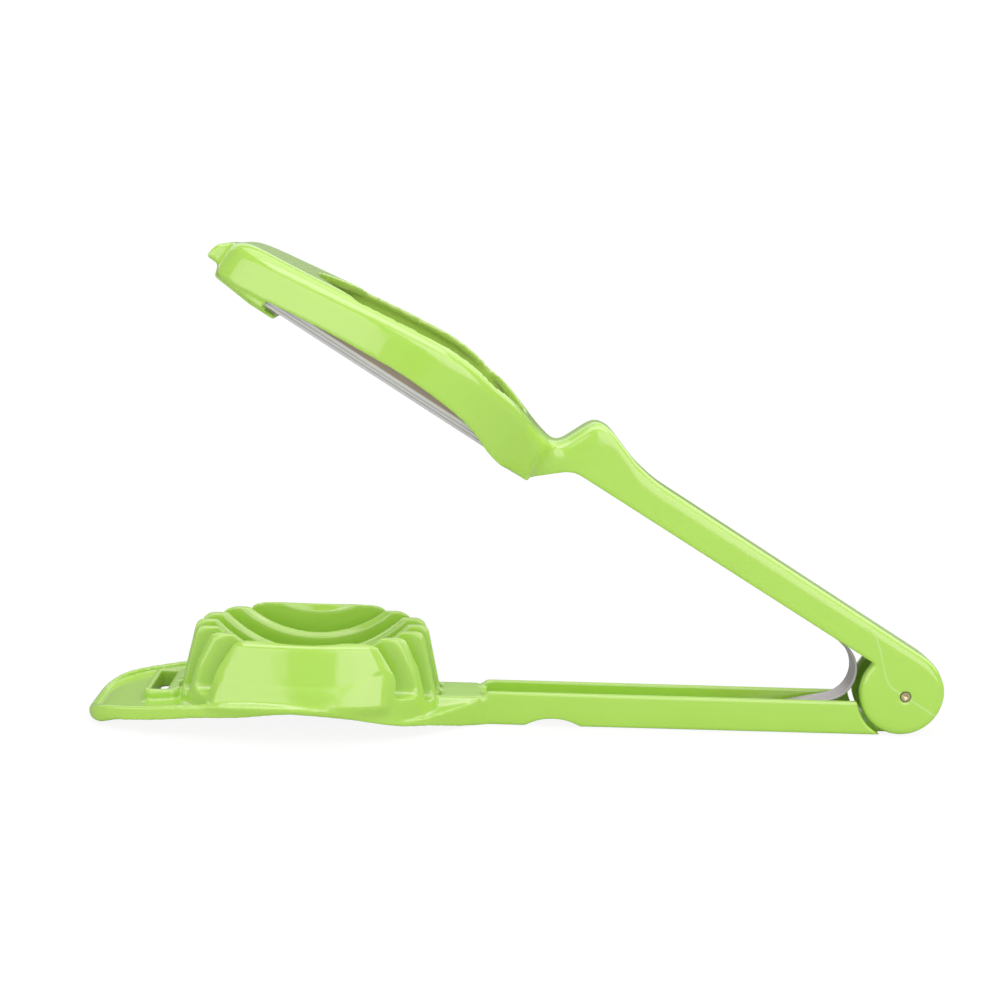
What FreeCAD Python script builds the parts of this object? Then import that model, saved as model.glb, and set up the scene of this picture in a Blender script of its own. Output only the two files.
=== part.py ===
import FreeCAD, Part
import math
import os
from FreeCAD import Vector

# Hand-held fruit slicer: a lower arm with a slotted fruit cradle, an upper arm with a
# frame of six blades, a hinge pin and a bent strip spring that holds the arms open.
# Millimetres. X runs from the front tip to the hinge, Y across, Z up from the table.
# The upper arm is drawn shut, with both handles parallel, and then turned open.

# hinge and the two arms' shared sizes
pin_x = 233.3                # hinge pin, behind the front tip
pin_z = 11.45                # hinge pin, above the table
pin_radius = 1.5
pin_end_recess = 0.25        # pin ends lie this far under the cheeks
pin_dimple_radius = 0.7
pin_dimple_depth = 0.6
press_clearance = 0.02       # pin in the cheeks
running_clearance = 0.06     # knuckle on the pin
open_angle = 31.2            # between the handles at rest
handle_width = 15.0
side_wall = 1.8              # walls of both handle channels
edge_round = 0.5             # outer edges of the lower handle

# lower arm, plate
tip_top = 2.2
plate_outline = (            # distance behind the tip, half width
    (0.5, 10.5), (4.0, 17.3), (10.0, 21.8), (30.0, 27.8), (60.0, 31.8),
    (78.0, 29.3), (92.0, 22.6), (104.0, 12.6))
rim_line = (                 # distance behind the tip, height of the rim's top
    (2.0, 3.9), (5.0, 5.4), (10.0, 6.4), (18.0, 7.3), (35.0, 9.3), (50.0, 10.2),
    (62.0, 9.9), (74.0, 8.4), (87.0, 5.0), (97.0, 5.0), (111.0, 7.3))
underside_line = (           # distance behind the tip, height of the underside
    (3.4, 0.03), (8.0, 1.5), (20.0, 3.7), (34.0, 5.4), (46.0, 6.4), (58.0, 8.0),
    (67.0, 7.5), (78.0, 5.9), (88.0, 3.6), (97.0, 2.2), (104.0, 0.6))
tip_bottom = 1.2
rim_width = 2.0
rim_height = 1.6             # the recessed floor lies this far under the rim
recess_end = 45.0
keel_half_width = 18.0       # thicker middle of the plate, under the cradle
keel_bottom = 4.9
keel_start = 27.0
keel_end = 84.0
keel_round = 1.2

# lower arm, fruit cradle
seat_x = 62.5
cradle_top = 26.9
cradle_top_radius = 33.0     # round through the middle ribs' upper ends
cradle_draft = 12.6          # degrees, flank against the vertical
cradle_base = 5.2
cradle_round = 2.4           # top edges of the cradle
outer_ribs_start = 13.0      # the ribs outside this half width lean more
outer_top_radius = 31.4
outer_draft = 22.0
cradle_clearance = 0.6       # cradle to the inside of the frame that closes round it
flank_half_width = 27.9      # the two outer walls, at their top
flank_draft = 11.7
flank_radius = 110.0
seat_radius = 37.0           # ball that hollows the seat
seat_depth = 11.9            # of the seat's lowest point under the cradle's top
slot_count = 6
slot_pitch = 8.68
rib_thickness = 2.9
slot_floor = 6.9             # height of the slots' floor on the middle line
slot_floor_radius = 58.0     # the floor rises outwards along this round
slot_corner = 1.8
slot_overrun = 0.3           # slots run this far past the ribs' ends

# lower arm, latch box
latch_front = 16.1
latch_rear = 26.0
latch_half_width = 13.0
latch_top = 8.9
latch_wall = 2.4
latch_round = 0.7
latch_corner = 2.5           # upright corners of the box
latch_hole_start = 18.0
latch_hole_end = 22.5
latch_roof = 1.4
latch_pocket = 2.3           # undercut behind the hole

# lower arm, neck and handle
neck_half_width = 8.5
neck_top = 8.2
neck_flare = 3.4             # each side, at the foot
handle_start = 109.0
rail_foot_x = 110.9
rail_foot_z = 7.8
rail_start = 113.4
rail_height = 9.64
channel_start = 111.8
channel_corner = 3.0         # rounds of the channel's front end
channel_floor = 2.4
notch_x = 132.1              # deepest point of the finger notch under the handle
notch_radius = 15.8
notch_depth = 2.1
notch_cover = 2.1            # floor left above the notch
rail_gap = 0.6               # rails to the turning cheeks

# hinge knuckle of the lower arm
knuckle_radius = 8.0
cheek_thickness = 3.5
knuckle_gap = 0.3            # each side, to the cheeks
knuckle_web_start = 212.0
knuckle_web_top = 216.0
knuckle_shoulder = 20.0      # degrees under the pin's level where the web meets the knuckle

# upper arm, cheeks and handle, drawn shut
cheek_radius = 12.3
cheek_ahead = 1.15           # cheek's centre ahead of the pin
cheek_above = 0.3            # cheek's centre above the pin
roof_thickness = 2.2
handle_underside = 3.15      # lower edge of the upper handle above the pin
cheek_start = 217.7
rear_wall_end = 64.0         # degrees past the pin's level where the rear wall ends
stop_gap_angle = 2.0         # left to the knuckle's heel with the arm open
handle_edge_round = 1.7      # upper handle's long top edges

# upper arm, hump and neck, drawn shut
valley_x = 107.4
valley_z = 17.6
hump_corners = (              # distance behind the tip, height, radius
    (109.2, 17.6, 0), (114.7, 29.9, 2.6), (119.4, 29.5, 7.0), (131.0, 25.3, 30.0))
hump_tail_end = 139.0
hump_tail_round = 30.0
neck_heel_x = 106.6
neck_heel_z = 4.8
neck_end_x = 117.0
neck_end_z = 13.9
neck_end_round = 7.0
hump_hollow_start = 119.5
hump_hollow_top = 25.3
hump_hollow_flat = 2.0       # length of the hollow's top before it follows the tail
hump_tail_skin = 3.2         # thickness of the hump's tail over the hollow

# upper arm, blade frame, drawn shut
frame_nose = 3.0
frame_end = 112.9            # the plan outline meets the handle's sides here
frame_outline = (            # distance behind the lower arm's tip, half width
    (3.4, 9.5), (6.5, 16.0), (12.0, 20.6), (30.0, 27.6), (45.0, 31.2), (62.0, 32.9),
    (80.0, 31.0), (92.0, 24.6), (103.0, 14.6))
frame_top_line = (
    (4.6, 16.1), (8.3, 18.4), (12.0, 19.2), (20.0, 20.2), (32.0, 21.7), (50.0, 23.9),
    (62.0, 25.1), (68.0, 25.5), (74.0, 25.4), (80.0, 24.8), (86.0, 23.7), (92.0, 22.0),
    (101.0, 19.1))
frame_underside_line = (
    (5.5, 6.8), (12.0, 7.6), (26.0, 9.5), (39.7, 11.25), (50.0, 12.1), (60.0, 12.7),
    (73.0, 12.2), (86.3, 9.6), (91.2, 7.4), (98.7, 5.1))
frame_wall = 1.8
frame_top_thickness = 2.4
frame_shoulder = 4.2         # round along the frame's upper edge
window_clearance = 2.0       # fruit window in the frame's top, round the cradle's top
frame_bore_radius = 38.2     # clears the cradle behind the blades
block_rear = 20.7            # solid front end that holds the blades
block_bottom = 6.2

# upper arm, thumb tab and snap hook at the front, drawn shut
tab_half_width = 8.0
tab_tip_x = -0.6
tab_tip_z = 8.6
tab_thickness = 1.9
tab_front = (                # front of the tab, from its tip: forward, up
    (0.3, 2.7), (1.1, 4.7), (3.2, 6.5))
hook_half_width = 10.0
hook_root_x = 4.4
hook_root_z = 5.4
hook_heel_x = 16.6
hook_bottom = 4.15
hook_tip_x = 24.5
hook_thickness = 1.3
hook_throat = 14.4
hook_corner = 0.5            # blunt corners of the finger and of its throat

# blades
blade_thickness = 0.6
blade_height = 10.0
blade_edge = 7.4             # cutting edge's height with the arms drawn shut
blade_bevel = 1.57
blade_edge_thickness = 0.08
blade_front_grip = 4.5       # length held in the front block
blade_rear_grip = 1.2        # length held in the rear wall

# strip spring
spring_width = 8.0
spring_thickness = 0.7
spring_reach = 24.0          # pin to the bend's centre
spring_bend_radius = 9.4     # outside of the bend
spring_splay = 11.6          # degrees, each leg against its arm
spring_foot = 9.0
spring_clearance = 0.05      # foot to the arm under it
strap_length = 4.0           # moulded strap over each foot
strap_thickness = 1.3
strap_inset = 3.0            # strap to the foot's bend

# derived sizes
half_width = handle_width / 2
inner_half_width = half_width - side_wall
slot_width = slot_pitch - rib_thickness
cheek_inner = half_width - cheek_thickness
knuckle_half_width = cheek_inner - knuckle_gap
cheek_x = pin_x - cheek_ahead
cheek_z = pin_z + cheek_above
handle_top = cheek_z + cheek_radius
roof_inside = handle_top - roof_thickness
handle_low = pin_z + handle_underside
seat_z = cradle_top - seat_depth + seat_radius
blade_rows = [(k - (slot_count - 1) / 2) * slot_pitch for k in range(slot_count)]
far_above = 60.0             # past the top of everything drawn shut
far_aside = 60.0             # past the sides of everything
overall_length = pin_x + cheek_radius - cheek_ahead * math.cos(math.radians(open_angle)) \
    + cheek_above * math.sin(math.radians(open_angle))


def at(x, z, y=0.0):
    """Point from a distance behind the tip, a height and an optional side offset."""
    return Vector(x, y, z)


def spline(points):
    """Smooth edge through the points."""
    curve = Part.BSplineCurve()
    curve.interpolate(points)
    return curve.toShape()


def polyline(points):
    """Straight edges from point to point."""
    return [Part.LineSegment(a, b).toShape() for a, b in zip(points, points[1:])]


def face_of(edges):
    """Flat face inside a closed chain of edges."""
    return Part.Face(Part.Wire(Part.__sortEdges__(edges)))


def across(face, half):
    """Extrude a side view to both sides of the middle plane."""
    solid = face.copy()
    solid.translate(Vector(0, -half, 0))
    return solid.extrude(Vector(0, 2 * half, 0))


def side_prism(points, half):
    """Prism across the arm from a polygon in side view."""
    corners = [at(x, z) for x, z in points]
    return across(face_of(polyline(corners + corners[:1])), half)


def rounded_prism(corners, half):
    """Prism across the arm from corners in side view, each with its own radius (0 stays sharp)."""
    edges = []
    ends = []
    count = len(corners)
    for k, (x, z, radius) in enumerate(corners):
        corner = at(x, z)
        if radius == 0:
            ends.append((corner, corner))
            continue
        before = at(*corners[k - 1][:2]) - corner
        after = at(*corners[(k + 1) % count][:2]) - corner
        before.normalize()
        after.normalize()
        half_angle = before.getAngle(after) / 2
        reach = radius / math.tan(half_angle)
        inward = before + after
        inward.normalize()
        middle = corner + inward * (radius / math.sin(half_angle) - radius)
        start = corner + before * reach
        end = corner + after * reach
        edges.append(Part.Arc(start, middle, end).toShape())
        ends.append((start, end))
    for k, (start, end) in enumerate(ends):
        edges.append(Part.LineSegment(ends[k - 1][1], start).toShape())
    return across(face_of(edges), half)


def cross_cylinder(x, z, radius, half):
    """Cylinder across the arm."""
    return Part.makeCylinder(radius, 2 * half, Vector(x, -half, z), Vector(0, 1, 0))


def span_box(x0, x1, half, z0, z1):
    """Box between two stations, centred across the arm."""
    return Part.makeBox(x1 - x0, 2 * half, z1 - z0, Vector(x0, -half, z0))


def outline_curve(nose, stations, end_x):
    """Plan view of an arm's head, from the handle's near side round the nose to its far side."""
    near = [Vector(x, -half, 0) for x, half in reversed(stations)]
    far = [Vector(x, half, 0) for x, half in stations]
    points = [Vector(end_x, -half_width, 0)] + near + [Vector(nose, 0, 0)] + far
    points += [Vector(end_x, half_width, 0)]
    curve = Part.BSplineCurve()
    curve.interpolate(points)
    return curve


def outline_prism(curve, inset, z0, z1):
    """Prism inside the plan curve, drawn in by the inset along the curve's normal."""
    steps = 48
    first = curve.FirstParameter
    last = curve.LastParameter
    points = []
    for k in range(steps + 1):
        u = first + (last - first) * k / steps
        along = curve.tangent(u)[0]
        inward = Vector(along.y, -along.x, 0)
        points.append(curve.value(u) + inward * inset)
    shifted = Part.BSplineCurve()
    shifted.interpolate(points)
    ends = Part.LineSegment(points[-1], points[0]).toShape()
    base = Part.Face(Part.Wire([shifted.toShape(), ends]))
    base.translate(Vector(0, 0, z0))
    return base.extrude(Vector(0, 0, z1 - z0))


def opened(shape):
    """Turn a shape of the upper arm from shut to its open rest pose."""
    turned = shape.copy()
    turned.rotate(at(pin_x, pin_z), Vector(0, 1, 0), open_angle)
    return turned


# The head of the lower arm: a D-shaped plate whose rim and underside rise towards the cradle.

def underside_points():
    """Side view of the plate's underside, from the tip to the handle."""
    return [at(0, tip_bottom)] + [at(x, z) for x, z in underside_line] + [at(handle_start, 0)]


def keel():
    """Thicker middle of the plate under the cradle, rounded along its lower edges."""
    top = cradle_base + rim_height
    body = side_prism([(keel_start, keel_bottom), (keel_end, keel_bottom), (keel_end, top),
                       (keel_start, top)], keel_half_width)
    low_edges = [e for e in body.Edges
                 if abs(e.CenterOfMass.z - keel_bottom) < 0.01 and abs(e.CenterOfMass.y) > 1]
    return body.makeFillet(keel_round, low_edges)


def plate():
    """Plate with its recessed floor and its keel."""
    end_x = rail_start
    rim = [at(0, tip_top)] + [at(x, z) for x, z in rim_line] + [at(end_x, rail_foot_z)]
    under = underside_points()
    edges = [spline(rim), spline(under)]
    edges += polyline([rim[0], under[0]])
    edges += polyline([under[-1], at(end_x, 0), rim[-1]])
    curve = outline_curve(0, plate_outline, end_x)
    body = across(face_of(edges), far_aside).common(outline_prism(curve, 0, -1, far_above))
    body = body.fuse(keel())
    floor = [at(x, z - rim_height) for x, z in rim_line if x <= recess_end]
    corners = [floor[-1], at(recess_end, far_above), at(floor[0].x, far_above), floor[0]]
    recess = across(face_of([spline(floor)] + polyline(corners)), far_aside)
    return body.cut(recess.common(outline_prism(curve, rim_width, -1, far_above)))


def rounded_cone(centre, top_radius, draft):
    """Upright cone from the cradle's base to its top, widening downwards, with a rounded lip."""
    slant = math.radians(draft)
    height = cradle_top - cradle_base
    setback = cradle_round / math.tan(math.pi / 4 + slant / 2)
    lip_in = at(top_radius - setback, cradle_top)
    lip_out = at(top_radius + setback * math.sin(slant), cradle_top - setback * math.cos(slant))
    middle = math.pi / 4 + slant / 2
    lip_middle = lip_in + at(cradle_round * math.cos(middle), cradle_round * (math.sin(middle) - 1))
    foot = at(top_radius + height * math.tan(slant), cradle_base)
    edges = polyline([at(0, cradle_top), lip_in])
    edges.append(Part.Arc(lip_in, lip_middle, lip_out).toShape())
    edges += polyline([lip_out, foot, at(0, cradle_base), at(0, cradle_top)])
    body = face_of(edges).revolve(Vector(0, 0, 0), Vector(0, 0, 1), 360)
    body.translate(centre)
    return body


def cradle_cone(grown):
    """Full round of the cradle, grown by a distance where it bounds the slots' ends."""
    return rounded_cone(at(seat_x, 0), cradle_top_radius + grown, cradle_draft)


def cradle():
    """Round cradle, leaning more at its outer ribs, with two flatter flanks and a ball-shaped
    seat, before it is slotted."""
    outer = rounded_cone(at(seat_x, 0), outer_top_radius, outer_draft)
    middle = span_box(seat_x - far_aside, seat_x + far_aside, outer_ribs_start, -1, far_above)
    body = cradle_cone(0).common(outer.fuse(middle))
    for side in (-1, 1):
        centre = Vector(seat_x, side * (flank_radius - flank_half_width), 0)
        body = body.common(rounded_cone(centre, flank_radius, flank_draft))
    body = body.cut(Part.makeSphere(seat_radius, at(seat_x, seat_z)))
    inside_frame = outline_prism(frame_curve(), frame_wall + cradle_clearance, -1, far_above)
    return body.common(inside_frame).common(above_the_underside().fuse(keel()))


def above_the_underside():
    """Everything over the plate's underside and inside its outline."""
    under = underside_points()
    corners = [under[-1], at(handle_start, far_above), at(0, far_above), under[0]]
    space = across(face_of([spline(under)] + polyline(corners)), far_aside)
    curve = outline_curve(0, plate_outline, rail_start)
    return space.common(outline_prism(curve, 0, -1, far_above))


def slot_floor_at(y):
    """Height of a slot's floor, which rises outwards."""
    return slot_floor + slot_floor_radius - math.sqrt(slot_floor_radius ** 2 - y * y)


def slot(y):
    """Straight slot with rounded lower corners, open at both ends of the cradle."""
    low = slot_floor_at(y)
    left = y - slot_width / 2
    right = y + slot_width / 2
    start = seat_x - far_aside
    bend = slot_corner * (1 - math.sqrt(0.5))
    edges = polyline([Vector(start, left, low + slot_corner), Vector(start, left, far_above),
                      Vector(start, right, far_above), Vector(start, right, low + slot_corner)])
    edges.append(Part.Arc(Vector(start, right, low + slot_corner),
                          Vector(start, right - bend, low + bend),
                          Vector(start, right - slot_corner, low)).toShape())
    edges += polyline([Vector(start, right - slot_corner, low), Vector(start, left + slot_corner, low)])
    edges.append(Part.Arc(Vector(start, left + slot_corner, low),
                          Vector(start, left + bend, low + bend),
                          Vector(start, left, low + slot_corner)).toShape())
    return face_of(edges).extrude(Vector(2 * far_aside, 0, 0)).common(cradle_cone(slot_overrun))


def cheek_centre(turn):
    """Centre of the cheeks' round with the upper arm turned open by that many degrees."""
    angle = math.radians(turn)
    return at(pin_x - cheek_ahead * math.cos(angle) + cheek_above * math.sin(angle),
              pin_z + cheek_ahead * math.sin(angle) + cheek_above * math.cos(angle))


def latch_box():
    """Raised box in front of the cradle, with rounded upper edges and corners."""
    low = tip_top + rim_height
    body = span_box(latch_front, latch_rear, latch_half_width, low, latch_top)
    middle = (low + latch_top) / 2
    body = body.makeFillet(latch_corner, [e for e in body.Edges if abs(e.CenterOfMass.z - middle) < 0.01])
    return body.makeFillet(latch_round, [e for e in body.Edges if e.BoundBox.ZMin > latch_top - 0.01])


def latch_hole():
    """Hole through the box and the plate, with an undercut behind it for the hook's finger."""
    inside = latch_half_width - latch_wall
    hole = span_box(latch_hole_start, latch_hole_end, inside, -1, far_above)
    pocket = span_box(latch_hole_end, latch_hole_end + latch_pocket, inside, -1,
                      latch_top - latch_roof)
    return hole.fuse(pocket)


def neck():
    """Raised neck between the cradle and the handle, flared at its foot."""
    start = seat_x + cradle_top_radius
    low = rim_line[-2][1] - rim_height
    wide = neck_half_width + neck_flare
    section = [Vector(start, -wide, low), Vector(start, -neck_half_width, neck_top),
               Vector(start, neck_half_width, neck_top), Vector(start, wide, low)]
    body = face_of(polyline(section + section[:1])).extrude(Vector(rail_foot_x - start, 0, 0))
    curve = outline_curve(0, plate_outline, rail_start)
    return body.common(outline_prism(curve, 0, -1, far_above))


def lower_handle():
    """Channel-shaped handle with a notch under it, cut round at the hinge."""
    rear = pin_x
    body = side_prism([(handle_start, 0), (handle_start, rail_foot_z), (rail_foot_x, rail_foot_z),
                       (rail_start, rail_height), (rear, rail_height), (rear, 0)], half_width)
    half_length = (rear - handle_start) / 2
    long_edges = [e for e in body.Edges
                  if e.Length > half_length and abs(abs(e.CenterOfMass.y) - half_width) < 0.01]
    body = body.makeFillet(edge_round, long_edges)
    floor_over_notch = notch_depth + notch_cover
    ramp = floor_over_notch - channel_floor
    notch_centre_z = notch_depth - notch_radius
    notch_end = notch_x + math.sqrt(notch_radius ** 2 - notch_centre_z ** 2)
    channel = side_prism([(channel_start, far_above), (channel_start, floor_over_notch),
                          (notch_end, floor_over_notch), (notch_end + ramp, channel_floor),
                          (rear, channel_floor), (rear, far_above)], inner_half_width)
    front_corners = [e for e in channel.Edges
                     if e.BoundBox.XMax < channel_start + 0.01 and e.BoundBox.ZLength > 1]
    body = body.cut(channel.makeFillet(channel_corner, front_corners))
    body = body.cut(cross_cylinder(notch_x, notch_centre_z, notch_radius, far_aside))
    for turn in (0, open_angle / 2, open_angle):
        centre = cheek_centre(turn)
        body = body.cut(cross_cylinder(centre.x, centre.z, cheek_radius + rail_gap, far_aside))
    return body


def knuckle():
    """Middle knuckle on the pin, joined to the handle's floor by a web with a stop heel."""
    heel_angle = math.radians(rear_wall_end + open_angle + stop_gap_angle - 90)
    shoulder_angle = math.radians(knuckle_shoulder)
    heel_low = (pin_x - pin_z * math.tan(heel_angle), 0)
    heel_high = (pin_x - knuckle_radius * math.sin(heel_angle),
                 pin_z - knuckle_radius * math.cos(heel_angle))
    shoulder = (pin_x - knuckle_radius * math.cos(shoulder_angle),
                pin_z - knuckle_radius * math.sin(shoulder_angle))
    web = side_prism([(knuckle_web_start, 0), (knuckle_web_start, channel_floor),
                      (knuckle_web_top, channel_floor), shoulder, (pin_x, pin_z), heel_high,
                      heel_low], knuckle_half_width)
    body = web.fuse(cross_cylinder(pin_x, pin_z, knuckle_radius, knuckle_half_width))
    return body.cut(cross_cylinder(pin_x, pin_z, pin_radius + running_clearance, far_aside))


def strap(foot_start, surface, inward):
    """Moulded strap that holds a spring foot against the floor (inward 1) or the roof (-1)."""
    start = foot_start + spring_foot - strap_inset - strap_length
    near = surface + inward * (spring_thickness + 2 * spring_clearance)
    far = near + inward * strap_thickness
    return span_box(start, start + strap_length, inner_half_width, min(near, far), max(near, far))


def lower_arm():
    """The whole lower moulding."""
    body = plate().fuse([latch_box(), neck(), lower_handle()]).removeSplitter()
    body = body.fuse(cradle())
    body = body.cut([latch_hole()] + [slot(y) for y in blade_rows])
    return body.fuse([knuckle(), strap(lower_foot_start(), channel_floor, 1)])


# The upper arm, drawn shut: blade frame, neck, hump, handle channel and two hinge cheeks.

def frame_curve():
    """Plan view of the blade frame."""
    return outline_curve(frame_nose, frame_outline, frame_end)


def frame_shell():
    """Outside of the blade frame with its rounded upper shoulder."""
    top = [at(x, z) for x, z in frame_top_line] + [at(valley_x, valley_z)]
    under = [at(x, z) for x, z in frame_underside_line] + [at(neck_heel_x, neck_heel_z)]
    front = [top[0], at(frame_nose, tab_tip_z), under[0]]
    edges = [spline(top), spline(under)] + polyline(front)
    edges += polyline([top[-1], at(valley_x, neck_heel_z), under[-1]])
    body = across(face_of(edges), far_aside)
    body = body.common(outline_prism(frame_curve(), 0, -5, far_above))
    half_length = (frame_nose + valley_x) / 2
    shoulder = [e for e in body.Edges
                if e.Length > half_length and e.CenterOfMass.z > frame_top_line[0][1]]
    return body.makeFillet(frame_shoulder, shoulder)


def frame_cavity(grip_front, grip_rear):
    """Open space for the blades under the frame's top, grown by the two grip lengths."""
    wall = frame_wall - grip_rear
    space = outline_prism(frame_curve(), wall, -5, far_above)
    rear = Part.makeCylinder(frame_bore_radius + grip_rear, far_above + 5, at(seat_x, -5))
    front = span_box(block_rear - grip_front, seat_x, far_aside, -5, far_above)
    return space.common(rear.fuse(front)).common(
        span_box(block_rear - grip_front, frame_end, far_aside, -5, far_above))


def under_the_top():
    """Everything lower than the frame's top skin."""
    roof = [at(x, z - frame_top_thickness) for x, z in frame_top_line]
    roof.append(at(valley_x, valley_z - frame_top_thickness))
    corners = [roof[-1], at(valley_x, -5), at(roof[0].x, -5), roof[0]]
    return across(face_of([spline(roof)] + polyline(corners)), far_aside)


def fruit_window():
    """Opening in the frame's top, as round as the cradle's top and as flat at its flanks."""
    height = far_above + 5
    window = Part.makeCylinder(cradle_top_radius + window_clearance, height, at(seat_x, -5))
    for side in (-1, 1):
        centre = Vector(seat_x, side * (flank_radius - flank_half_width), -5)
        window = window.common(Part.makeCylinder(flank_radius + window_clearance, height, centre))
    return window


def front_block():
    """Solid front end that grips the blades."""
    top = frame_top_line[0][1]
    block = span_box(frame_nose, block_rear, far_aside, block_bottom, top)
    return block.common(outline_prism(frame_curve(), frame_wall / 2, -5, far_above))


def thumb_tab():
    """Lip ahead of the frame that the thumb lifts to free the hook."""
    root_x, root_z = frame_top_line[0]
    front = [(tab_tip_x + dx, tab_tip_z + dz) for dx, dz in tab_front]
    rear_x = root_x + tab_thickness
    return side_prism([(tab_tip_x, tab_tip_z)] + front + [(root_x, root_z),
                      (rear_x, root_z - tab_thickness), (rear_x, tab_tip_z)], tab_half_width)


def snap_hook():
    """Hook under the frame whose finger points back at the hinge."""
    finger_top = hook_bottom + hook_thickness
    inside_block = block_bottom + hook_thickness
    return side_prism([(hook_root_x - hook_corner, inside_block), (hook_root_x, hook_root_z),
                       (hook_heel_x, hook_bottom), (hook_tip_x - hook_corner, hook_bottom),
                       (hook_tip_x, hook_bottom + hook_thickness / 2),
                       (hook_tip_x - hook_corner, finger_top), (hook_throat, finger_top),
                       (hook_throat - hook_corner, inside_block)], hook_half_width)


def upper_handle():
    """Hump, handle and cheeks as one solid bar, before it is hollowed."""
    corners = [(valley_x, valley_z, 0)] + list(hump_corners)
    corners += [(hump_tail_end, handle_top, hump_tail_round), (cheek_x, handle_top, 0),
                (cheek_x, handle_low, 0), (neck_end_x, neck_end_z, neck_end_round),
                (neck_heel_x, neck_heel_z, 0), (*frame_underside_line[-1], 0),
                (*frame_top_line[-1], 0)]
    bar = rounded_prism(corners, half_width)
    bar = bar.fuse(cross_cylinder(cheek_x, cheek_z, cheek_radius, half_width)).removeSplitter()
    top_edges = [e for e in bar.Edges
                 if abs(abs(e.CenterOfMass.y) - half_width) < 0.01
                 and e.CenterOfMass.x > hump_corners[0][0]
                 and e.CenterOfMass.z > handle_low + 1]
    return bar.makeFillet(handle_edge_round, top_edges)


def handle_hollow():
    """Channel under the handle and the hump, and the gap between the cheeks."""
    channel = side_prism([(hump_hollow_start, -far_above), (hump_hollow_start, hump_hollow_top),
                          (hump_hollow_start + hump_hollow_flat, hump_hollow_top),
                          (hump_corners[-1][0], hump_corners[-1][1] - hump_tail_skin),
                          (hump_tail_end, roof_inside), (cheek_start, roof_inside),
                          (cheek_start, -far_above)], inner_half_width)
    gap = span_box(cheek_start - 1, cheek_x, cheek_inner, -far_above, roof_inside)
    gap = gap.fuse(cross_cylinder(cheek_x, cheek_z, cheek_radius - roof_thickness, cheek_inner))
    reach = 3 * cheek_radius
    end = math.radians(rear_wall_end)
    gap = gap.fuse(side_prism([(pin_x - cheek_ahead, pin_z), (pin_x, pin_z),
                               (pin_x + reach * math.cos(end), pin_z - reach * math.sin(end)),
                               (pin_x - cheek_ahead, pin_z - reach)], cheek_inner))
    return channel.fuse(gap)


def upper_arm(blades):
    """The whole upper moulding, turned open, with sockets for the blades."""
    shell = frame_shell().fuse(upper_handle()).removeSplitter()
    shell = shell.cut(frame_cavity(0, 0).common(under_the_top()))
    shell = shell.cut(fruit_window().common(frame_cavity(0, 0)))
    body = shell.fuse([front_block(), thumb_tab(), snap_hook()])
    body = body.cut(handle_hollow())
    body = body.cut(cross_cylinder(pin_x, pin_z, pin_radius + press_clearance, far_aside))
    body = body.fuse(shut_strap()).cut(blades)
    return opened(body)


def blade(y):
    """One straight blade, drawn shut: a flat strip with a ground lower edge."""
    half = blade_thickness / 2
    edge = blade_edge_thickness / 2
    top = blade_edge + blade_height
    start = frame_nose
    section = [Vector(start, y - edge, blade_edge), Vector(start, y - half, blade_edge + blade_bevel),
               Vector(start, y - half, top), Vector(start, y + half, top),
               Vector(start, y + half, blade_edge + blade_bevel), Vector(start, y + edge, blade_edge)]
    strip = face_of(polyline(section + section[:1])).extrude(Vector(frame_end - start, 0, 0))
    return strip.common(frame_cavity(blade_front_grip, blade_rear_grip))


def hinge_pin():
    """Plain pin with a small dimple in each end."""
    half = half_width - pin_end_recess
    body = cross_cylinder(pin_x, pin_z, pin_radius, half)
    for side in (-1, 1):
        dimple = Part.makeCone(pin_dimple_radius, 0, pin_dimple_depth,
                               Vector(pin_x, side * half, pin_z), Vector(0, -side, 0))
        body = body.cut(dimple)
    return body


# The spring: two straight legs and flat feet joined by one round bend, alike on both arms.

def leg_length(surface_distance):
    """Straight leg from the bend to the arm's inner surface, at the stated pin distance."""
    bisector = math.radians(open_angle / 2)
    splay = math.radians(spring_splay)
    centre_height = spring_reach * math.sin(bisector)
    tangent_height = centre_height - spring_bend_radius * math.cos(splay)
    return (surface_distance + tangent_height - spring_clearance) / math.sin(splay)


def half_spring(surface_distance):
    """Outer side of the spring's lower half, from the foot's end to the middle of the bend."""
    bisector = math.radians(open_angle / 2)
    splay = math.radians(spring_splay)
    centre = at(pin_x - spring_reach * math.cos(bisector), pin_z + spring_reach * math.sin(bisector))
    outward = Vector(math.cos(bisector), 0, -math.sin(bisector))
    leg = leg_length(surface_distance)
    down = Vector(math.sin(splay), 0, -math.cos(splay))
    forward = Vector(-math.cos(splay), 0, -math.sin(splay))
    return centre, outward, down, forward, leg


def spring_path(surface_distance, radius):
    """Edges of the half spring at a bend radius: flat foot, leg and half of the bend."""
    centre, outward, down, forward, leg = half_spring(surface_distance)
    tangent = centre + down * radius
    splay = math.radians(spring_splay)
    inset = spring_bend_radius - radius
    knee = tangent + forward * (leg + inset * math.tan(splay / 2))
    toe = at(centre.x + (down * spring_bend_radius + forward * leg).x - spring_foot, knee.z)
    middle_direction = down + outward
    middle_direction.normalize()
    bend = Part.Arc(tangent, centre + middle_direction * radius, centre + outward * radius)
    return [toe, knee, tangent], bend, centre + outward * radius


def spring_half_solid(surface_distance):
    """Strip of even thickness for one half of the spring."""
    outer, outer_bend, outer_end = spring_path(surface_distance, spring_bend_radius)
    inner, inner_bend, inner_end = spring_path(surface_distance, spring_bend_radius - spring_thickness)
    edges = polyline(outer) + [outer_bend.toShape()] + polyline([outer_end, inner_end])
    edges += [inner_bend.toShape()] + polyline(inner) + polyline([inner[0], outer[0]])
    return across(face_of(edges), spring_width / 2)


def lower_foot_start():
    """Front end of the spring's lower foot."""
    return spring_path(pin_z - channel_floor, spring_bend_radius)[0][0].x


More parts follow.
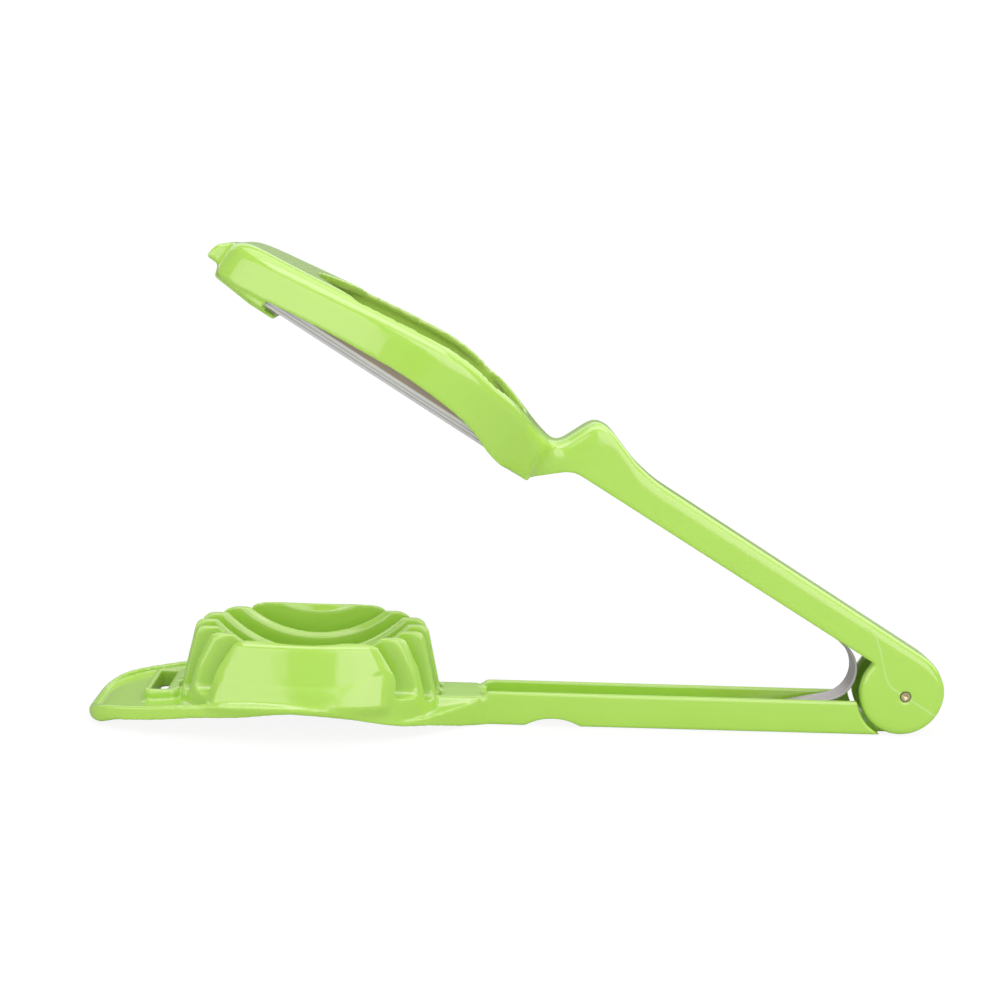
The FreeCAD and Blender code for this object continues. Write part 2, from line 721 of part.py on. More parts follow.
def upper_foot_start():
    """Front end of the spring's upper foot, with the upper arm drawn shut."""
    return spring_path(roof_inside - pin_z, spring_bend_radius)[0][0].x


def shut_strap():
    """Strap under the upper arm's roof, at the mirrored place of the lower one."""
    return strap(upper_foot_start(), roof_inside, -1)


def leaf_spring():
    """Whole spring in its open rest shape."""
    lower = spring_half_solid(pin_z - channel_floor)
    upper = spring_half_solid(roof_inside - pin_z).mirror(at(pin_x, pin_z), Vector(0, 0, 1))
    return lower.fuse(opened(upper)).removeSplitter()


def save(name, shape):
    """Write one piece, with the origin under the middle of the whole slicer."""
    placed = shape.copy()
    placed.translate(Vector(-overall_length / 2, 0, 0))
    solids = placed.Solids
    box = placed.BoundBox
    print(name, "solids", len(solids), "valid", placed.isValid(), "volume", round(placed.Volume, 1),
          "x", round(box.XMin, 2), round(box.XMax, 2), "y", round(box.YMin, 2), round(box.YMax, 2),
          "z", round(box.ZMin, 2), round(box.ZMax, 2))
    result = solids[0] if len(solids) == 1 else placed
    result.exportStep("parts/" + name + ".step")


def main():
    os.makedirs("parts", exist_ok=True)
    shut_blades = [blade(y) for y in blade_rows]
    save("lower_arm", lower_arm())
    save("upper_arm", upper_arm(shut_blades))
    for k, shut_blade in enumerate(shut_blades):
        save("blade_" + str(k + 1), opened(shut_blade))
    save("hinge_pin", hinge_pin())
    save("leaf_spring", leaf_spring())


main()
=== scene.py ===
# %% [markdown]
# A hand-held fruit slicer in bright green plastic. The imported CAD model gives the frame: where every
# piece is, how big it is and how it moves. This notebook dresses that frame. It starts by loading it
# and keeping its box, because nothing that is added may grow past it.

# %% Load the frame
import bmesh
import bpy
import math
import numpy as np
from mathutils import Matrix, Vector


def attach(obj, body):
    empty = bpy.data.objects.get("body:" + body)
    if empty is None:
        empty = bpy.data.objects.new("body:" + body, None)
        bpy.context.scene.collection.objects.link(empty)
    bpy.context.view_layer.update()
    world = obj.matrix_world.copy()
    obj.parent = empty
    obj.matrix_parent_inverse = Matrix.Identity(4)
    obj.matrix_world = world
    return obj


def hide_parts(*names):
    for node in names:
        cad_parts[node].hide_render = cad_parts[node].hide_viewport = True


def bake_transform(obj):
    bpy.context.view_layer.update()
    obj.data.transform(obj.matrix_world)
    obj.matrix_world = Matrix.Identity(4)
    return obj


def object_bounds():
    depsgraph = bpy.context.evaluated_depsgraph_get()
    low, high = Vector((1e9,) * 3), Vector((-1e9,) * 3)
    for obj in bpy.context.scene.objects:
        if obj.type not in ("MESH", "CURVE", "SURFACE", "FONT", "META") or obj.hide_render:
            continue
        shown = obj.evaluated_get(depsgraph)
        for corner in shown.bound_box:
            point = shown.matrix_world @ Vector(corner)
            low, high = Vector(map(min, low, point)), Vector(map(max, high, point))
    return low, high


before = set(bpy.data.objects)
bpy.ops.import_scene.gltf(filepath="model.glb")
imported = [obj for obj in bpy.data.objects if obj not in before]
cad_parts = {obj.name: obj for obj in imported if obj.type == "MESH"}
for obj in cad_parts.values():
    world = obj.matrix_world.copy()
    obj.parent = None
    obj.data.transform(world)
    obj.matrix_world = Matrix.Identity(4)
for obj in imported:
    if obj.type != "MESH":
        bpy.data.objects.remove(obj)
cad_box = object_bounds()
print("CAD box", [round(c, 4) for corner in cad_box for c in corner])

# %% [markdown]
# The camera stands where the photographer stood: a little above the cradle, about half a metre in
# front, looking slightly down and a touch to the right. Three angles and a position are enough. The
# lens is the one number that sets how big the slicer is in the picture.

# %% Camera
camera_place = (-0.0227, -0.5109, 0.1435)
pitch = math.radians(8.86)
yaw = math.radians(1.73)
roll = math.radians(2.04)
sensor_width = 36.0
lens = 65.3


def camera_axes(pitch, yaw, roll):
    """Right, up and forward arrows of a camera that looks along +Y, turned right by yaw, down by pitch
    and about its own line of sight by roll."""
    forward = np.array([math.sin(yaw) * math.cos(pitch), math.cos(yaw) * math.cos(pitch), -math.sin(pitch)])
    level = np.array([math.cos(yaw), -math.sin(yaw), 0.0])
    upright = np.cross(level, forward)
    right = math.cos(roll) * level + math.sin(roll) * upright
    up = math.cos(roll) * upright - math.sin(roll) * level
    return right, up, forward


camera = bpy.data.objects.new("camera", bpy.data.cameras.new("camera"))
bpy.context.scene.collection.objects.link(camera)
right, up, forward = camera_axes(pitch, yaw, roll)
pose = np.eye(4)
pose[:3, 0] = right
pose[:3, 1] = up
pose[:3, 2] = -forward
pose[:3, 3] = camera_place
camera.matrix_world = [list(column) for column in pose.T]
camera.data.sensor_width = sensor_width
camera.data.lens = lens
bpy.context.scene.camera = camera
print("camera looks along", forward.round(3))

# %% [markdown]
# Places on the slicer are easiest to say as in its drawing: millimetres behind the front tip, and
# height over the table. The upper arm is drawn shut and then turned about the hinge pin, so a place
# on it is found by turning back. These few sizes are the drawing's own.

# %% Drawing places
MM = 0.001
tip_x = cad_box[0].x
pin_x = tip_x + 233.3 * MM
pin_z = 11.45 * MM
open_angle = math.radians(31.2)
slot_pitch = 8.68 * MM
blade_rows = [(k - 2.5) * slot_pitch for k in range(6)]


def shut(points):
    """Distance behind the tip and height, as if the upper arm were shut: a turn about the pin by the
    open angle, x' = x cos a - z sin a and z' = x sin a + z cos a."""
    x = points[:, 0] - pin_x
    z = points[:, 2] - pin_z
    turned_x = x * math.cos(open_angle) - z * math.sin(open_angle)
    turned_z = x * math.sin(open_angle) + z * math.cos(open_angle)
    return turned_x + pin_x - tip_x, turned_z + pin_z


def smooth(t):
    """Smoothstep: 0 below 0, 1 above 1, and 3 t^2 - 2 t^3 between."""
    t = np.clip(t, 0, 1)
    return t * t * (3 - 2 * t)


print("pin at", round(pin_x, 4), pin_z)

# %% [markdown]
# A material in Blender is a graph of nodes. Wiring sums by hand is slow to read, so a small class
# wraps one socket and lets plain Python arithmetic add the Math nodes.

# %% Shader helper
class Wire:
    """A number that varies over a surface: the output socket of a node."""

    def __init__(self, shader, socket):
        self.shader = shader
        self.socket = socket

    def _math(self, operation, first, second=None):
        inputs = {0: first} if second is None else {0: first, 1: second}
        return self.shader.node("ShaderNodeMath", {"operation": operation}, inputs)

    def __add__(self, other):
        return self._math("ADD", self, other)

    def __radd__(self, other):
        return self._math("ADD", other, self)

    def __sub__(self, other):
        return self._math("SUBTRACT", self, other)

    def __mul__(self, other):
        return self._math("MULTIPLY", self, other)

    def __pow__(self, other):
        return self._math("POWER", self, other)

    def step(self, low, high):
        """Smooth rise from 0 where the wire is at low to 1 where it is at high."""
        return self.shader.node("ShaderNodeMapRange", {"interpolation_type": "SMOOTHSTEP"},
                                {"Value": self, "From Min": low, "From Max": high})


class Shader:
    """A material or world whose nodes are made by calls."""

    def __init__(self, owner):
        owner.use_nodes = True
        self.tree = owner.node_tree
        self.tree.nodes.clear()

    def node(self, kind, settings=None, inputs=None, output=0):
        """Adds one node: its settings first, then values or wires on its input sockets."""
        made = self.tree.nodes.new(kind)
        for name, value in (settings or {}).items():
            setattr(made, name, value)
        for name, value in (inputs or {}).items():
            if isinstance(value, Wire):
                self.tree.links.new(value.socket, made.inputs[name])
            else:
                made.inputs[name].default_value = value
        return Wire(self, made.outputs[output]) if len(made.outputs) else made

    def place(self):
        """The point on the surface in the object's own metres."""
        return self.node("ShaderNodeTexCoord", output="Object")

    def along(self, direction, origin=(0.0, 0.0, 0.0)):
        """Distance of the surface point from the origin, measured along a direction."""
        offset = self.node("ShaderNodeVectorMath", {"operation": "SUBTRACT"}, {0: self.place(), 1: origin})
        return self.node("ShaderNodeVectorMath", {"operation": "DOT_PRODUCT"},
                         {0: offset, 1: direction}, output="Value")

    def noise(self, scale, detail=2.0, stretch=(1, 1, 1), roughness=0.5):
        """Soft random field between 0 and 1, about one bump for each 1/scale metres."""
        point = self.node("ShaderNodeMapping", {"vector_type": "POINT"},
                          {"Vector": self.place(), "Scale": stretch})
        return self.node("ShaderNodeTexNoise", {"noise_dimensions": "3D"},
                         {"Vector": point, "Scale": scale, "Detail": detail, "Roughness": roughness})

    def mix(self, factor, a, b):
        """Colour between a at factor 0 and b at factor 1."""
        made = self.tree.nodes.new("ShaderNodeMix")
        made.data_type = "RGBA"
        self.tree.links.new(factor.socket, made.inputs["Factor"])
        for name, value in (("A", a), ("B", b)):
            socket = [s for s in made.inputs if s.name == name and s.type == "RGBA"][0]
            if isinstance(value, Wire):
                self.tree.links.new(value.socket, socket)
            else:
                socket.default_value = (*value, 1.0)
        return Wire(self, [s for s in made.outputs if s.type == "RGBA"][0])


def material(name):
    made = bpy.data.materials.new(name)
    return made, Shader(made)


up_shut = (math.sin(open_angle), 0.0, math.cos(open_angle))
back_shut = (math.cos(open_angle), 0.0, -math.sin(open_angle))
print("upper arm's own up and back", np.round(up_shut, 3), np.round(back_shut, 3))

# %% [markdown]
# Green moulding: glossy injection-moulded plastic, one saturated green with a faint unevenness. A
# wide, very shallow bump bends the reflections as sink marks do. On the hinge cheeks an S-shaped
# crease runs from the handle down to the pin and on to the rear. It could be carved into the mesh,
# but it is only a tenth of a millimetre high, so a bump whose height steps across the same curve gives
# the same glint, and a painted highlight makes a thin line along it a shade paler. A thin dark ring of
# painted shade round the pin stands for the shade in the gap of the bore.

# %% Green plastic
pin_point = (pin_x, 0.0, pin_z)
crease_rise = 10.5 * MM
crease_start = -4.0 * MM
crease_end = -20.0 * MM
crease_width = 0.7 * MM
# Radii of the painted shade round the pin, where the gap of the bore lies.
bore_shade_radii = (1.40 * MM, 1.55 * MM, 1.75 * MM)


def finish_green(s, colour, height, depth):
    """Glossy plastic of a colour, over a height field of that depth in metres."""
    fine = s.noise(900.0, 2.0)
    wide = s.noise(30.0, 1.0)
    sink = s.node("ShaderNodeBump", {}, {"Strength": 0.10, "Distance": 0.0016, "Height": wide})
    if height is not None:
        sink = s.node("ShaderNodeBump", {}, {"Strength": 1.0, "Distance": depth, "Height": height,
                                             "Normal": sink})
    shader = s.node("ShaderNodeBsdfPrincipled", {}, {
        "Base Color": colour, "Roughness": 0.12 + fine * 0.05, "Normal": sink,
        "IOR": 1.60, "Specular IOR Level": 1.0, "Specular Tint": (1.0, 0.66, 1.0, 1.0)})
    s.node("ShaderNodeOutputMaterial", {}, {"Surface": shader})


def green_colour(s):
    return s.mix(s.noise(45.0, 3.0), (0.388, 0.682, 0.074), (0.418, 0.714, 0.090))


def green_plastic():
    made, s = material("green_moulding")
    finish_green(s, green_colour(s), None, 0.0)
    return made


def green_with_crease():
    """The same green for the upper arm, with the cheeks' crease, a painted highlight along it and painted
    shade in a ring round the pin.
    """
    made, s = material("green_moulding_cheeks")
    back = s.along(back_shut, pin_point)
    rise = s.along(up_shut, pin_point)
    crease = back.step(crease_start, crease_end) * crease_rise
    above = (rise - crease).step(-crease_width / 2, crease_width / 2)
    near_hinge = back.step(-24 * MM, -19 * MM)
    away = (back * back + rise * rise) ** 0.5
    # Painted shade: a dark ring round the pin, where the gap of the bore is in shade.
    bore_shade_ring = away.step(bore_shade_radii[0], bore_shade_radii[1]) * away.step(bore_shade_radii[2], bore_shade_radii[1])
    off_crease = rise - crease
    # Painted highlight: a thin line along the crease is made a shade paler, as its glint.
    crease_highlight = (off_crease * off_crease).step((crease_width / 2) ** 2, 0.0) * near_hinge
    colour = s.mix(crease_highlight * 0.40, green_colour(s), (0.72, 0.92, 0.42))
    finish_green(s, s.mix(bore_shade_ring * 0.5, colour, (0.16, 0.15, 0.05)), above * near_hinge, 0.12 * MM)
    return made


green = green_plastic()
green_cheeks = green_with_crease()
print("made", green.name, green_cheeks.name)

# %% [markdown]
# The mouldings. The solids have the right shapes but mould-sharp edges, and real moulded plastic
# has none: ribs end round, the cradle's flank flows into the rim. A bevel on so many meeting edges
# breaks easily. Filling the shape with small cubes and taking a new even skin always works. That
# skin is then relaxed like a stretched cloth, more where the real one is softer, and thinned out
# where it is flat. Sockets that the blades fill are closed first, as the cubes are as wide as they.
# The solid's cradle walls end upright above the rim and the real ones lean all the way down, so the
# skin's foot is moved outwards there.

# %% Even skins
cell = 0.42 * MM
relax_rounds = 90
most_faces = 190000


def welded(node):
    """Edit mesh of a CAD node with its facets joined."""
    edit = bmesh.new()
    edit.from_mesh(node.data)
    bmesh.ops.remove_doubles(edit, verts=edit.verts, dist=0.002 * MM)
    return edit


def close_sockets(edit):
    """Takes out the faces inside the blades' sockets and caps the holes that this leaves."""
    reach = 0.302 * MM

    def in_socket(face):
        side = face.calc_center_median().y
        row = min(blade_rows, key=lambda y: abs(y - side))
        return all(abs(v.co.y - row) < reach for v in face.verts)

    inside = [f for f in edit.faces if in_socket(f)]
    bmesh.ops.delete(edit, geom=inside, context="FACES")
    rims = [e for e in edit.edges if e.is_boundary]
    bmesh.ops.holes_fill(edit, edges=rims, sides=0)
    loose = [v for v in edit.verts if not v.link_faces]
    bmesh.ops.delete(edit, geom=loose, context="VERTS")
    bmesh.ops.triangulate(edit, faces=[f for f in edit.faces if len(f.verts) > 4])
    bmesh.ops.recalc_face_normals(edit, faces=edit.faces)
    print("socket faces", len(inside), "open edges left", sum(e.is_boundary for e in edit.edges))


def evaluated(mesh, kind, settings):
    """Mesh after one modifier."""
    holder = bpy.data.objects.new("holder", mesh)
    bpy.context.scene.collection.objects.link(holder)
    modifier = holder.modifiers.new(kind, kind)
    for name, value in settings.items():
        setattr(modifier, name, value)
    graph = bpy.context.evaluated_depsgraph_get()
    result = bpy.data.meshes.new_from_object(holder.evaluated_get(graph))
    bpy.data.objects.remove(holder)
    return result


def relaxed(points, edges, share):
    """Every point moves towards the mean of its neighbours, p += share (mean - p), round after round.
    After n rounds a sharp edge is as round as if blurred by cell * sqrt(n share / 2)."""
    a, b = edges.T
    count = len(points)
    neighbours = np.bincount(edges.ravel(), minlength=count)[:, None]
    for _ in range(relax_rounds):
        total = [np.bincount(a, column[b], count) + np.bincount(b, column[a], count) for column in points.T]
        points = points + share * (np.stack(total, 1) / neighbours - points)
    return points


def soft_skin(name, body, softness, finish, reshape=None):
    """Soft-edged copy of a moulding that takes the place of its CAD node."""
    edit = welded(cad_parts[name])
    if name == "upper_arm":
        close_sockets(edit)
    mesh = bpy.data.meshes.new(name + "_welded")
    edit.to_mesh(mesh)
    edit.free()
    mesh = evaluated(mesh, "REMESH", {"mode": "VOXEL", "voxel_size": cell})
    points = np.zeros(len(mesh.vertices) * 3)
    mesh.vertices.foreach_get("co", points)
    points = points.reshape(-1, 3)
    edges = np.zeros(len(mesh.edges) * 2, dtype=np.int32)
    mesh.edges.foreach_get("vertices", edges)
    share = np.clip(2 * (softness(points) / cell) ** 2 / relax_rounds, 0, 0.9)
    points = relaxed(points, edges.reshape(-1, 2), share[:, None])
    if reshape:
        points = reshape(points)
    mesh.vertices.foreach_set("co", points.ravel())
    mesh.update()
    triangles = 2 * len(mesh.polygons)
    if triangles > most_faces:
        mesh = evaluated(mesh, "DECIMATE", {"decimate_type": "COLLAPSE", "ratio": most_faces / triangles})
    mesh.polygons.foreach_set("use_smooth", np.ones(len(mesh.polygons), dtype=bool))
    mesh.materials.clear()
    mesh.materials.append(finish)
    piece = bpy.data.objects.new(name + "_skin", mesh)
    bpy.context.scene.collection.objects.link(piece)
    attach(piece, body)
    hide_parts(name)
    print(name, "skin from", triangles, "triangles to", len(mesh.polygons), "faces")


flank_lean = math.radians(12.6)
flank_knee = 15.6 * MM
front_knee_rise = 1.3 * MM
rear_knee_rise = 3.2 * MM
flank_foot = 10.4 * MM
neck_heel_x = 106.6 * MM
neck_heel_z = 4.8 * MM
neck_rise = 0.875
handle_top = 24.05 * MM


def base_softness(points):
    """Blur of the lower arm's edges: strong under the tip, less on the cradle's ribs and where its
    flanks meet the rim, and little at the hinge and the latch box."""
    x = points[:, 0] - tip_x
    side = np.abs(points[:, 1])
    z = points[:, 2]
    soft = np.full(len(points), 0.40 * MM)
    soft += smooth((16 * MM - x) / (6 * MM)) * smooth((3.2 * MM - z) / (1 * MM)) * 0.9 * MM
    in_cradle = smooth((x - 28 * MM) / (3 * MM)) * smooth((101 * MM - x) / (3 * MM))
    ribs = in_cradle * smooth((z - 8.0 * MM) / (3 * MM))
    soft += ribs * 0.22 * MM
    foot = in_cradle * smooth((side - 22 * MM) / (3 * MM)) * smooth((14 * MM - z) / (2 * MM))
    soft += foot * 0.25 * MM
    soft -= smooth((x - 112 * MM) / (5 * MM)) * 0.12 * MM
    return soft


def leaning_foot(points):
    """Lets the cradle's two outer walls lean right down to the rim: below the knee each point moves
    outwards by its depth under the knee times the tangent of the flank's lean. The knee is where the
    solid's wall turns upright, which is higher towards both ends of the wall."""
    x = points[:, 0] - tip_x
    y = points[:, 1]
    z = points[:, 2]
    knee = flank_knee + smooth((52 * MM - x) / (12 * MM)) * front_knee_rise
    knee += smooth((x - 70 * MM) / (15 * MM)) * rear_knee_rise
    depth = np.clip(knee - z, 0, knee - flank_foot)
    lower_end = smooth((z - flank_foot + 4 * MM) / (4 * MM))
    beside_seat = smooth((x - 34 * MM) / (5 * MM)) * smooth((91 * MM - x) / (5 * MM))
    at_wall = smooth((np.abs(y) - 25 * MM) / (2 * MM))
    moved = points.copy()
    moved[:, 1] += np.sign(y) * depth * math.tan(flank_lean) * lower_end * beside_seat * at_wall
    return moved


def press_softness(points):
    """Blur of the upper arm's edges: strong where the frame turns into the neck, at the thumb tab and
    along the handle's top, and little in the hinge."""
    x, z = shut(points)
    soft = np.full(len(points), 0.55 * MM)
    over_neck = z - neck_heel_z - (x - neck_heel_x) * neck_rise
    in_neck = smooth((x - 97 * MM) / (5 * MM)) * smooth((124 * MM - x) / (8 * MM))
    soft += in_neck * smooth((over_neck + 0.5 * MM) / (2 * MM)) * 1.9 * MM
    soft += smooth((6 * MM - x) / (4 * MM)) * 0.5 * MM
    in_handle = smooth((x - 128 * MM) / (6 * MM))
    soft += in_handle * smooth((z - handle_top + 4 * MM) / (1.5 * MM)) * 0.75 * MM
    away = np.hypot(x - (pin_x - tip_x), z - pin_z)
    low_hinge = smooth((x - 205 * MM) / (5 * MM)) * smooth((9.5 * MM - away) / (2 * MM))
    soft -= low_hinge * 0.25 * MM
    return soft


soft_skin("lower_arm", "base", base_softness, green, leaning_foot)
soft_skin("upper_arm", "press", press_softness, green_cheeks)

# %% [markdown]
# Metals. The blades are strip steel with three ground bands along the edge, parted by fine lines, and
# a darker flat above, whose brownish colour is partly the steel's duller tone and partly painted shade.
# The bands follow the height over the cutting edge, which is a distance along the upper arm's own up
# direction. The spring is dull rolled strip, and the pin is pale brass.

# %% Metals
blade_edge_height = 7.4 * MM
ground_lines = (0.85 * MM, 1.75 * MM)
ground_top = 2.75 * MM
edge_point = (pin_x + (blade_edge_height - pin_z) * up_shut[0], 0.0,
              pin_z + (blade_edge_height - pin_z) * up_shut[2])


def metal(s, colour, rough, grain, depth):
    """Metal of a colour whose grain changes its roughness and its normal."""
    bump = s.node("ShaderNodeBump", {}, {"Strength": 0.3, "Distance": depth, "Height": grain})
    shader = s.node("ShaderNodeBsdfPrincipled", {}, {
        "Base Color": colour, "Metallic": 1.0, "Roughness": rough + grain * 0.10, "Normal": bump})
    s.node("ShaderNodeOutputMaterial", {}, {"Surface": shader})


def blade_finish():
    made, s = material("blade_steel")
    over_edge = s.along(up_shut, edge_point)
    grain = s.noise(900.0, 3.0, (0.1, 1, 1))
    # The flat's darker brownish colour is partly the steel's duller tone and partly painted shade.
    flat_tone_and_shade = s.mix(grain, (0.50, 0.39, 0.33), (0.58, 0.47, 0.41))
    ground = s.mix(grain, (0.90, 0.88, 0.89), (0.97, 0.95, 0.96))
    colour = s.mix(over_edge.step(ground_top, ground_top - 0.1 * MM), flat_tone_and_shade, ground)
    for height in ground_lines:
        off_line = (over_edge - height) * (over_edge - height)
        line = off_line.step((0.16 * MM) ** 2, (0.06 * MM) ** 2)
        colour = s.mix(line * 0.5, colour, (0.24, 0.20, 0.20))
    metal(s, colour, 0.50, grain, 0.00002)
    return made


def strip_finish():
    made, s = material("spring_steel")
    grain = s.noise(500.0, 4.0, (1, 0.15, 1))
    blotch = s.noise(160.0, 2.0)
    colour = s.mix(grain * 0.5 + blotch * 0.5, (0.46, 0.43, 0.43), (0.66, 0.63, 0.63))
    metal(s, colour, 0.45, grain, 0.00003)
    return made


def brass_finish():
    made, s = material("pin_brass")
    blotch = s.noise(1500.0, 3.0)
    away = (s.along(back_shut, pin_point) ** 2.0 + s.along(up_shut, pin_point) ** 2.0) ** 0.5
    pale = s.mix(blotch, (0.55, 0.47, 0.20), (0.95, 0.90, 0.62))
    # Painted shade: the pin darkens towards its rim, where it sits in the gap of the bore.
    colour = s.mix(away.step(1.15 * MM, 1.5 * MM), pale, (0.16, 0.12, 0.04))
    metal(s, colour, 0.25, blotch, 0.0001)
    return made


blade_steel = blade_finish()
spring_steel = strip_finish()
pin_brass = brass_finish()
for name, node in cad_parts.items():
    finish = {"blade": blade_steel, "leaf": spring_steel, "hinge": pin_brass}.get(name.split("_")[0], green)
    node.data.materials.clear()
    node.data.materials.append(finish)
print("dressed", sorted(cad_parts))

# %% [markdown]
# The strip spring bends as the arms close. Here it is a flat strip, shaped for the open arms and swept
# along its own line: foot, leg, round bend, leg, foot. The line is written for the lower half and
# mirrored in the line that halves the open angle.

# %% Spring
spring_reach = 24.0 * MM
bend_radius = 9.4 * MM
splay = math.radians(11.6)
foot_length = 9.0 * MM
strip_half_width = 4.0 * MM
strip_thickness = 0.7 * MM
strip_edge = 0.12 * MM
channel_floor = 2.45 * MM
roof_over_pin = 21.5 * MM - pin_z


def half_line(surface_drop, steps):
    """Middle line of the lower half, from the foot's toe to the bend's middle, with the bisector as
    the u axis (away from the pin) and v pointing down and across it. The leg leaves the bend at
    the splay angle to its arm, and the foot lies along the arm."""
    half = open_angle / 2
    radius = bend_radius - strip_thickness / 2
    arm = np.array([math.cos(half), math.sin(half)])
    off_arm = np.array([-math.sin(half), math.cos(half)])
    leg = math.cos(splay) * arm + math.sin(splay) * off_arm
    across = -math.sin(splay) * arm + math.cos(splay) * off_arm
    centre = np.array([spring_reach, 0.0])
    tangent = centre + radius * across
    length = (surface_drop - strip_thickness / 2 - tangent @ off_arm) / math.sin(splay)
    knee = tangent + leg * length
    toe = knee + arm * foot_length
    turn = np.linspace(0, 1, steps)[:, None]
    start_angle = math.atan2(across[1], across[0])
    angles = start_angle + (math.pi - start_angle) * turn
    bend = centre + radius * np.hstack([np.cos(angles), np.sin(angles)])
    spread = np.linspace(0, 1, steps, endpoint=False)[:, None]
    return np.vstack([toe + (knee - toe) * spread, knee + (tangent - knee) * spread, bend])


def spring_line(steps=28):
    """Both halves in the side view, as x and z in metres."""
    lower = half_line(pin_z - channel_floor, steps)
    upper = half_line(roof_over_pin, steps) * [1, -1]
    line = np.vstack([lower, upper[-2::-1]])
    half = open_angle / 2
    away = np.array([-math.cos(half), math.sin(half)])
    below = np.array([-math.sin(half), -math.cos(half)])
    return np.array([pin_x, pin_z]) + line[:, :1] * away + line[:, 1:] * below


def strip_mesh(line):
    """Strip with slightly blunt edges: a closed section of eight points carried along the line."""
    ahead = np.gradient(line, axis=0)
    ahead /= np.linalg.norm(ahead, axis=1)[:, None]
    normal = np.stack([-ahead[:, 1], ahead[:, 0]], 1)
    thin = strip_thickness / 2
    wide = strip_half_width
    section = [(thin, wide - strip_edge), (thin, strip_edge - wide), (thin - strip_edge, -wide),
               (strip_edge - thin, -wide), (-thin, strip_edge - wide), (-thin, wide - strip_edge),
               (strip_edge - thin, wide), (thin - strip_edge, wide)]
    rings = np.array([[(p[0] + n[0] * out, side, p[1] + n[1] * out) for out, side in section]
                      for p, n in zip(line, normal)])
    rows, columns = rings.shape[:2]
    faces = []
    for i in range(rows - 1):
        for j in range(columns):
            k = (j + 1) % columns
            faces.append((i * columns + j, i * columns + k, (i + 1) * columns + k, (i + 1) * columns + j))
    faces.append(tuple(range(columns))[::-1])
    faces.append(tuple(range((rows - 1) * columns, rows * columns)))
    mesh = bpy.data.meshes.new("spring_strip")
    mesh.from_pydata(rings.reshape(-1, 3).tolist(), [], faces)
    edit = bmesh.new()
    edit.from_mesh(mesh)
    bmesh.ops.recalc_face_normals(edit, faces=edit.faces)
    edit.to_mesh(mesh)
    edit.free()
    mesh.materials.append(spring_steel)
    return mesh


line = spring_line()
strip = bpy.data.objects.new("spring_strip", strip_mesh(line))
bpy.context.scene.collection.objects.link(strip)
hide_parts("leaf_spring")
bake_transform(strip)
print("spring line from", line[0].round(4), "by", line[len(line) // 2].round(4), "to", line[-1].round(4))

# %% [markdown]
# Floor and background. The photograph was cut out on pure white. The floor is a plain pale plane
# that camera rays see almost as white, so that only a faint shadow of the slicer stays on it. From
# a third of a metre outwards it is fully white, and its far edge melts into the white background.
# Mirrored rays see it darker, as the blades' undersides are grey in the photograph.

# %% Floor
floor_half = 3.0


def pale_floor():
    made, s = material("floor")
    seen = s.node("ShaderNodeLightPath", output="Is Camera Ray")
    mirrored = s.node("ShaderNodeLightPath", output="Is Glossy Ray")
    centre = s.node("ShaderNodeVectorMath", {"operation": "LENGTH"}, {0: s.place()}, output="Value")
    grit = s.noise(20.0, 2.0)
    paper = s.mix(grit, (0.79, 0.79, 0.79), (0.82, 0.82, 0.82))
    colour = s.mix(mirrored, paper, (0.34, 0.34, 0.34))
    diffuse = s.node("ShaderNodeBsdfDiffuse", {}, {"Color": colour})
    glow = s.node("ShaderNodeEmission", {}, {"Color": (1, 1, 1, 1), "Strength": 1.03})
    share = seen * (0.88 + centre.step(0.16, 0.34) * 0.12)
    both = s.node("ShaderNodeMixShader", {}, {0: share, 1: diffuse, 2: glow})
    s.node("ShaderNodeOutputMaterial", {}, {"Surface": both})
    return made


floor_mesh = bpy.data.meshes.new("floor")
corners = [(-floor_half, -floor_half, 0), (floor_half, -floor_half, 0),
           (floor_half, floor_half, 0), (-floor_half, floor_half, 0)]
floor_mesh.from_pydata(corners, [], [(0, 1, 2, 3)])
floor_mesh.materials.append(pale_floor())
floor = bpy.data.objects.new("floor", floor_mesh)
bpy.context.scene.collection.objects.link(floor)
floor.location.z = cad_box[0].z - 0.3 * MM
print("floor", 2 * floor_half, "m wide")

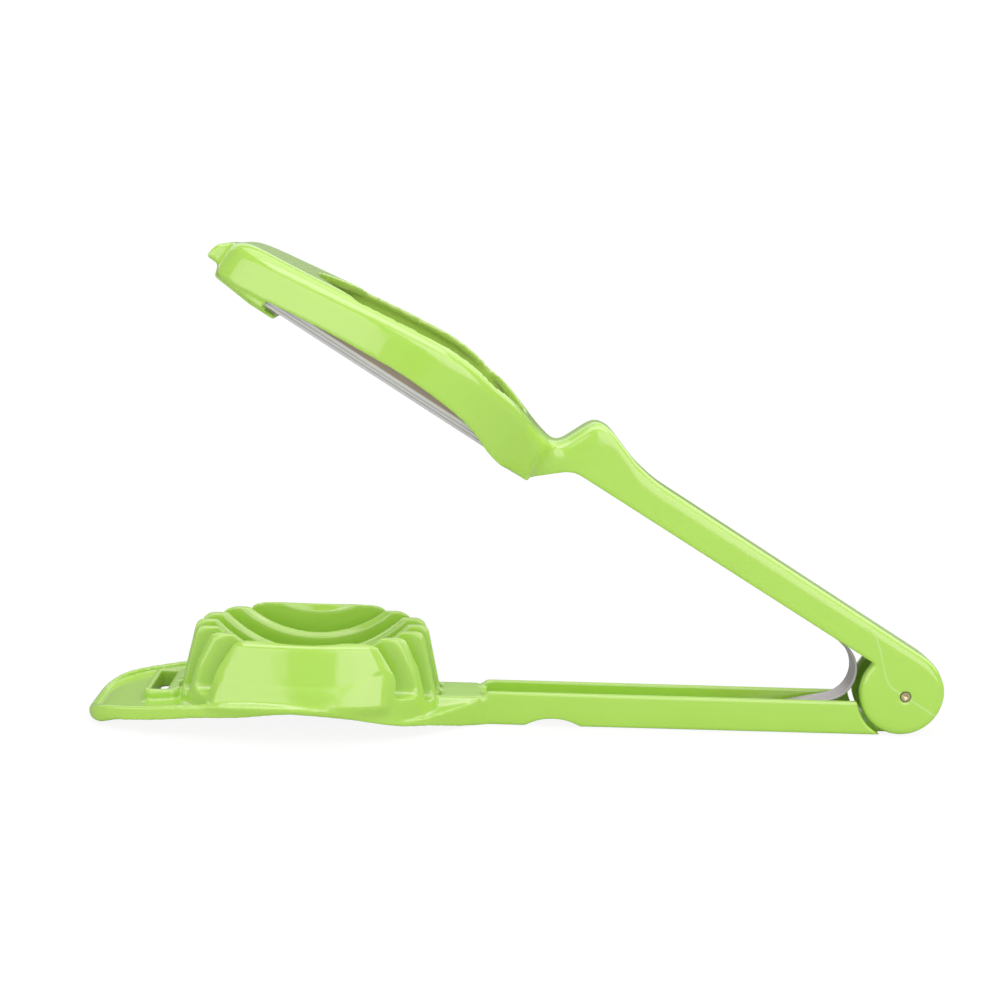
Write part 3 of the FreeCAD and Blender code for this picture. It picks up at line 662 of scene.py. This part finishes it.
# %% [markdown]
# Light. The plastic mirrors its lamps, and the photograph tells where they stood: the cradle's near
# flank shows a pale patch, a plain band and a second pale patch, so there were two large soft boxes
# with a gap just left of the camera, and the left one reached far round the side. A box high in front
# and one on the right draw the pale band along every shoulder, and a dim one behind whitens the flats
# that are seen at a low angle. A top box and an even dim world fill the rest. No lamp shows itself to
# the camera.

# %% World
world = bpy.data.worlds.new("studio")
bpy.context.scene.world = world
s = Shader(world)


def sky(strength):
    return s.node("ShaderNodeBackground", {}, {"Color": (1, 1, 1, 1), "Strength": strength})


seen = s.node("ShaderNodeLightPath", output="Is Camera Ray")
mirrored = s.node("ShaderNodeLightPath", output="Is Glossy Ray")
unseen = s.node("ShaderNodeMixShader", {}, {0: mirrored, 1: sky(0.25), 2: sky(0.32)})
surface = s.node("ShaderNodeMixShader", {}, {0: seen, 1: unseen, 2: sky(1.0)})
s.node("ShaderNodeOutputWorld", {}, {"Surface": surface})
print("world", world.name)


# %% Lamps
def softbox(name, azimuth, elevation, distance, width, height, radiance):
    """Rectangular lamp that faces the slicer. Azimuth 0 is towards the camera and 90 to its right."""
    lamp = bpy.data.lights.new(name, "AREA")
    lamp.shape = "RECTANGLE"
    lamp.size = width
    lamp.size_y = height
    lamp.energy = radiance * math.pi * width * height
    made = bpy.data.objects.new(name, lamp)
    bpy.context.scene.collection.objects.link(made)
    a = math.radians(azimuth)
    e = math.radians(elevation)
    back = np.array([math.sin(a) * math.cos(e), -math.cos(a) * math.cos(e), math.sin(e)])
    made.location = back * distance
    side = np.array([math.cos(a), math.sin(a), 0.0])
    turn = np.stack([side, np.cross(back, side), back], 1)
    made.rotation_euler = Matrix(turn.tolist()).to_euler()
    made.visible_camera = False


softbox("left_box", -47, 10, 1.1, 1.40, 1.05, 1.15)
softbox("right_box", 26, 20, 1.1, 0.90, 0.84, 1.50)
softbox("front_box", 0, 62, 1.1, 1.30, 0.60, 1.50)
softbox("side_box", 108, 37, 1.1, 1.10, 0.95, 1.40)
softbox("top_box", 0, 88, 1.0, 1.2, 1.2, 1.2)
softbox("back_box", 180, 32, 1.1, 2.0, 0.60, 0.75)
bpy.context.scene.view_settings.view_transform = "Standard"
